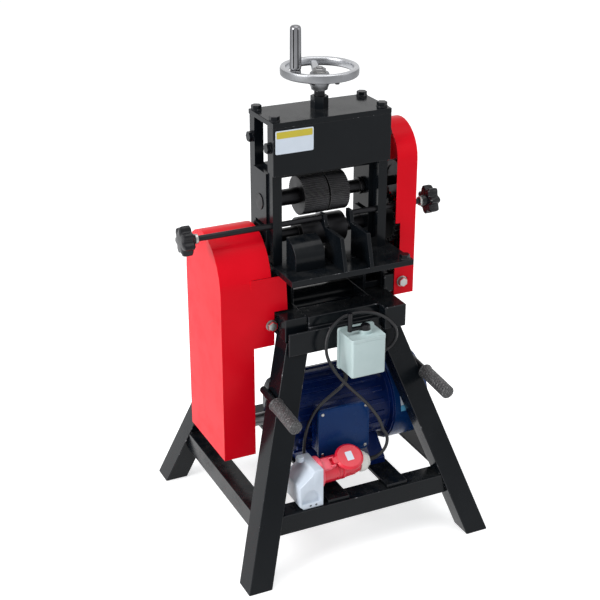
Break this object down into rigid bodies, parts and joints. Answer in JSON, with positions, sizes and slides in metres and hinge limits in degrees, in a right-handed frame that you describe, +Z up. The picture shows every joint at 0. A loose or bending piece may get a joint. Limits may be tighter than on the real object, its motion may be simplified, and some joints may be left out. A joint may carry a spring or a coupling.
{
  "type": "wire stripping machine",
  "caption": "Bench-height powered wire stripping machine: toothed feed rollers over a cutting disc, handwheel lift, cable guides, belt and chain guards, motor and splayed stand",
  "frame": {"origin": "on the floor, in the middle of the machine's width and depth, measured without the cables and the plug", "axes": "+X to the machine's right as the operator faces it, +Y the way the cable is fed, +Z up"},
  "size_m": [0.616, 0.5444, 1.1213],
  "materials": {
    "black_paint": "gloss",
    "bare_steel": "machined",
    "chrome": "polished",
    "red_paint": "gloss",
    "blue_paint": "semi gloss",
    "rubber": "matt",
    "white_plastic": "satin",
    "red_plastic": "satin"
  },
  "bodies": {
    "stand": {"leg_front_left": "black_paint", "leg_front_right": "black_paint", "leg_rear_left": "black_paint", "leg_rear_right": "black_paint", "beam_left": "black_paint", "beam_right": "black_paint", "cross_beam_front": "black_paint", "cross_beam_rear": "black_paint", "cross_tube": "black_paint", "rail_front": "black_paint", "rail_rear": "black_paint", "rail_left": "black_paint", "rail_right": "black_paint", "motor_bar_left": "black_paint", "motor_bar_right": "black_paint", "pedestal_left": "black_paint", "pedestal_right": "black_paint", "base_plate": "black_paint", "side_plate_left": "black_paint", "side_plate_right": "black_paint", "top_plate": "black_paint", "front_plate": "black_paint", "front_shield": "black_paint", "pillow_block_left": "bare_steel", "pillow_block_right": "bare_steel", "lower_block_left": "bare_steel", "lower_block_right": "bare_steel", "drive_chain": "bare_steel", "belt_guard": "red_paint", "chain_guard": "red_paint", "motor_body": "blue_paint", "terminal_box": "blue_paint", "fan_cowl": "blue_paint", "push_handle_left": "rubber", "push_handle_right": "rubber", "drive_belt_1": "rubber", "drive_belt_2": "rubber", "supply_cable": "rubber", "motor_cable": "rubber", "switch_box": "white_plastic", "supply_socket": "white_plastic", "supply_plug": "red_plastic"},
    "carriage": {"lift_carriage": "bare_steel"},
    "handwheel": {"handwheel": "chrome", "lift_screw": "bare_steel"},
    "wheel_handle": {"wheel_handle": "chrome"},
    "feed_shaft": {"upper_shaft": "bare_steel", "feed_roller_left": "bare_steel", "feed_roller_right": "bare_steel"},
    "blade_roller": {"blade_shaft": "bare_steel", "cutting_blade": "chrome"},
    "jackshaft": {"jackshaft": "bare_steel", "jackshaft_pulley": "bare_steel"},
    "motor_rotor": {"motor_rotor": "bare_steel"},
    "guide_left": {"guide_left": "black_paint"},
    "guide_screw_left": {"guide_screw_left": "rubber"},
    "guide_right": {"guide_right": "black_paint"},
    "guide_screw_right": {"guide_screw_right": "rubber"},
    "switch_lever": {"switch_lever": "rubber"},
    "socket_lid": {"socket_lid": "red_plastic"}
  },
  "joints": [
    {"name": "carriage_lift", "type": "slide", "parent": "stand", "child": "carriage", "axis": [0, 0, 1], "range_m": [-0.0061, 0.0551], "deforming": ["drive_chain"]},
    {"name": "handwheel_turn", "type": "hinge", "parent": "carriage", "child": "handwheel", "pos_m": [0.02002, 0, 1.007], "axis": [0, 0, 1], "range_deg": [-432, 3960]},
    {"name": "wheel_handle_spin", "type": "hinge", "parent": "handwheel", "child": "wheel_handle", "pos_m": [-0.04014, -0.015, 1.07], "axis": [0, 0, 1], "continuous": true},
    {"name": "feed_turn", "type": "hinge", "parent": "carriage", "child": "feed_shaft", "pos_m": [0.02, 0, 0.75], "axis": [1, 0, 0], "continuous": true},
    {"name": "blade_turn", "type": "hinge", "parent": "stand", "child": "blade_roller", "pos_m": [0.02, 0, 0.668], "axis": [1, 0, 0], "continuous": true},
    {"name": "jackshaft_turn", "type": "hinge", "parent": "stand", "child": "jackshaft", "pos_m": [0.02, 0.01994, 0.57001], "axis": [1, 0, 0], "continuous": true},
    {"name": "motor_turn", "type": "hinge", "parent": "stand", "child": "motor_rotor", "pos_m": [0.02, -0.025, 0.26], "axis": [1, 0, 0], "continuous": true},
    {"name": "guide_left_slide", "type": "slide", "parent": "stand", "child": "guide_left", "axis": [1, 0, 0], "range_m": [-0.0201, 0.0201]},
    {"name": "guide_screw_left_turn", "type": "hinge", "parent": "guide_left", "child": "guide_screw_left", "pos_m": [-0.15, -0.046, 0.711], "axis": [1, 0, 0], "range_deg": [-3600, 3600]},
    {"name": "guide_right_slide", "type": "slide", "parent": "stand", "child": "guide_right", "axis": [1, 0, 0], "range_m": [-0.0161, 0.0401]},
    {"name": "guide_screw_right_turn", "type": "hinge", "parent": "guide_right", "child": "guide_screw_right", "pos_m": [0.17, -0.046, 0.711], "axis": [1, 0, 0], "range_deg": [-2880, 7200]},
    {"name": "switch_turn", "type": "hinge", "parent": "stand", "child": "switch_lever", "pos_m": [0.04526, -0.16902, 0.51], "axis": [0, 0, 1], "range_deg": [0, 90]},
    {"name": "lid_open", "type": "hinge", "parent": "stand", "child": "socket_lid", "pos_m": [-0.04162, -0.20136, 0.2247], "axis": [0, -0.8572, -0.515], "range_deg": [0, 60]}
  ],
  "couplings": [
    {"joint": "carriage_lift", "follows": "handwheel_turn", "m_per_rad": 0.00079577},
    {"joint": "guide_left_slide", "follows": "guide_screw_left_turn", "m_per_rad": 0.00031831},
    {"joint": "guide_right_slide", "follows": "guide_screw_right_turn", "m_per_rad": 0.00031831},
    {"joint": "blade_turn", "follows": "jackshaft_turn", "ratio": -1},
    {"joint": "feed_turn", "follows": "jackshaft_turn", "ratio": 0.73684},
    {"joint": "motor_turn", "follows": "jackshaft_turn", "ratio": 1.9737}
  ]
}
